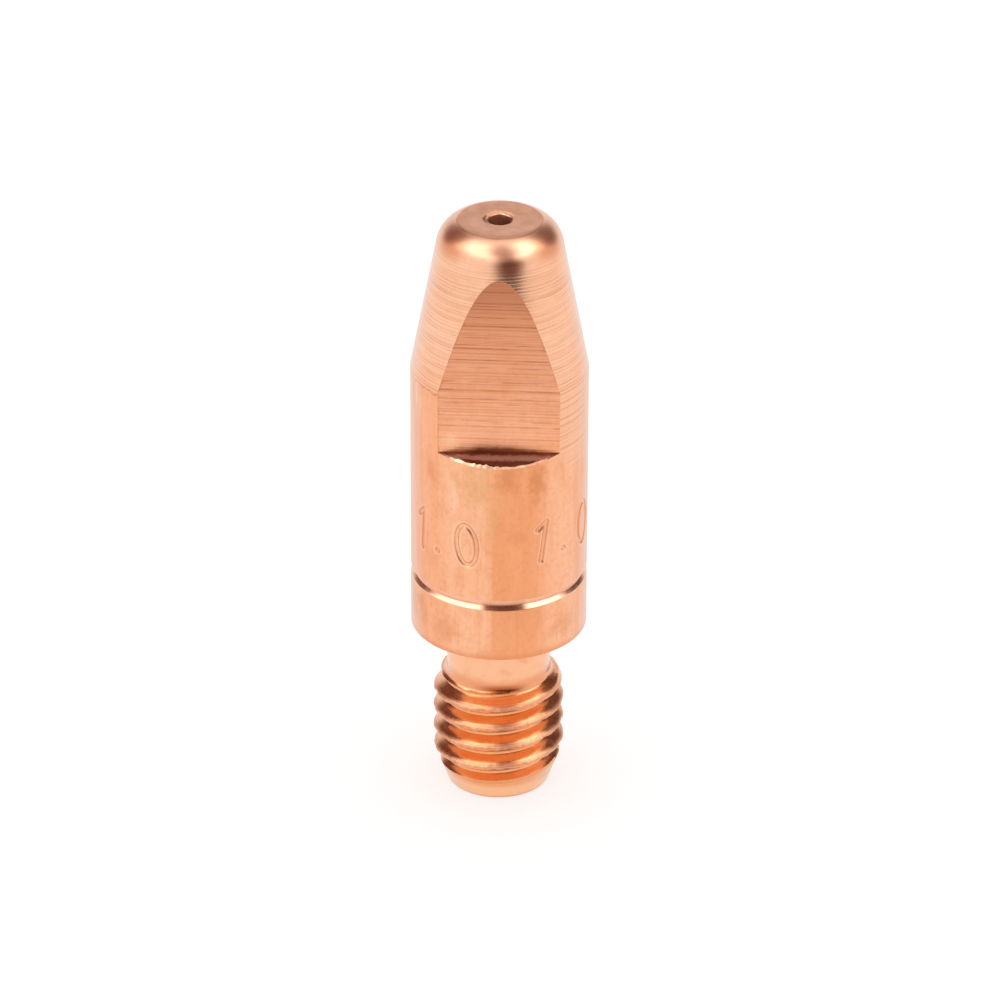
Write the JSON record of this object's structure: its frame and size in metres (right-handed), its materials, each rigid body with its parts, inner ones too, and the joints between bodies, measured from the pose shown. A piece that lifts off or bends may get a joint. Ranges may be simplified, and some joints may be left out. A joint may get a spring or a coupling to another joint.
{
  "type": "welding contact tip",
  "caption": "Turned copper contact tip with a tapered nose, a central wire bore, opposed spanner flats, a ring groove and a threaded shank that screws into a torch's tip holder.",
  "frame": {"origin": "centre of the threaded end's face, on the axis of the wire bore", "axes": "+Z along the axis from the threaded end to the nose, -Y out of the flat that the picture shows"},
  "size_m": [0.0078, 0.0078, 0.028],
  "materials": {
    "copper": "bright turned, milled and drawn copper"
  },
  "bodies": {
    "root": {"contact_tip": "copper"}
  },
  "joints": []
}
